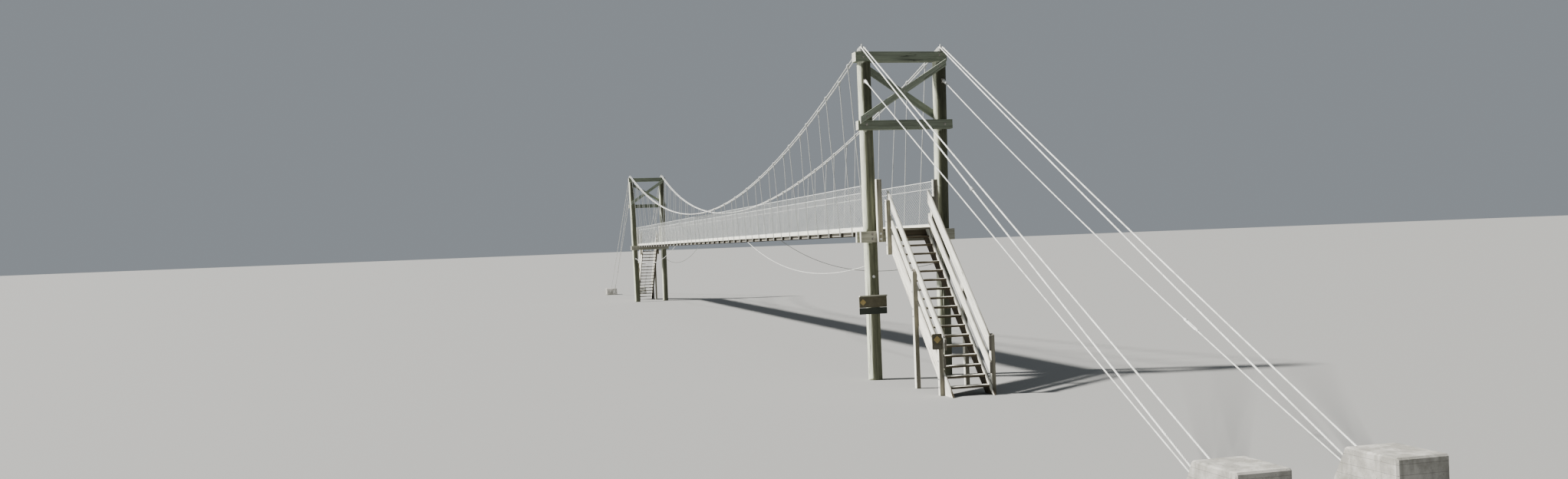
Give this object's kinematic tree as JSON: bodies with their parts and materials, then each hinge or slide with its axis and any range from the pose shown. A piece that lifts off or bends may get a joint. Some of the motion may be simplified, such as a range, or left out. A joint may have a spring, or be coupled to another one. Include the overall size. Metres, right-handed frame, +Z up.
{
  "type": "suspension footbridge, scale model 1:2",
  "caption": "Narrow timber suspension footbridge, modelled at half real size: pole towers, twin main ropes, hangers, netted deck, steep stairs and backstays at both ends.",
  "frame": {"origin": "on the ground at mid-span, under the middle of the deck", "axes": "+X across the deck, +Y along the bridge from the near tower to the far one, +Z up"},
  "size_m": [1.4, 38.14, 3.8175],
  "materials": {
    "beam_timber": "dark weathered timber",
    "bearer_timber": "weathered timber",
    "concrete": "weathered concrete",
    "fittings": "galvanised steel",
    "net_wire": "galvanised wire mesh",
    "pale_timber": "bleached timber",
    "pole_timber": "weathered round timber",
    "sign_panel": "dark painted panel",
    "wire_rope": "galvanised stranded rope"
  },
  "bodies": {
    "root": {"deck_floor": "pale_timber", "deck_transoms_and_runners": "bearer_timber", "far_cap_beam": "beam_timber", "far_cross_beam": "beam_timber", "far_front_brace": "beam_timber", "far_front_deck_bearer": "beam_timber", "far_left_anchor_block": "concrete", "far_left_lower_stay": "fittings", "far_left_newel_post": "pale_timber", "far_left_pole": "pole_timber", "far_left_saddle": "fittings", "far_left_stair_railing": "pale_timber", "far_left_storm_guy": "fittings", "far_rear_brace": "beam_timber", "far_rear_deck_bearer": "beam_timber", "far_right_anchor_block": "concrete", "far_right_lower_stay": "fittings", "far_right_newel_post": "pale_timber", "far_right_pole": "pole_timber", "far_right_saddle": "fittings", "far_right_stair_railing": "pale_timber", "far_right_storm_guy": "fittings", "far_stair_flight": "pale_timber", "left_inner_main_rope": "wire_rope", "left_kerb": "pale_timber", "left_net": "net_wire", "left_outer_main_rope": "wire_rope", "near_cap_beam": "beam_timber", "near_cross_beam": "beam_timber", "near_foot_sign": "sign_panel", "near_front_brace": "beam_timber", "near_front_deck_bearer": "beam_timber", "near_info_sign": "sign_panel", "near_left_anchor_block": "concrete", "near_left_lower_stay": "fittings", "near_left_newel_post": "pale_timber", "near_left_pole": "pole_timber", "near_left_saddle": "fittings", "near_left_stair_railing": "pale_timber", "near_left_storm_guy": "fittings", "near_rear_brace": "beam_timber", "near_rear_deck_bearer": "beam_timber", "near_right_anchor_block": "concrete", "near_right_lower_stay": "fittings", "near_right_newel_post": "pale_timber", "near_right_pole": "pole_timber", "near_right_saddle": "fittings", "near_right_stair_railing": "pale_timber", "near_right_storm_guy": "fittings", "near_stair_flight": "pale_timber", "right_inner_main_rope": "wire_rope", "right_kerb": "pale_timber", "right_net": "net_wire", "right_outer_main_rope": "wire_rope"}
  },
  "joints": []
}
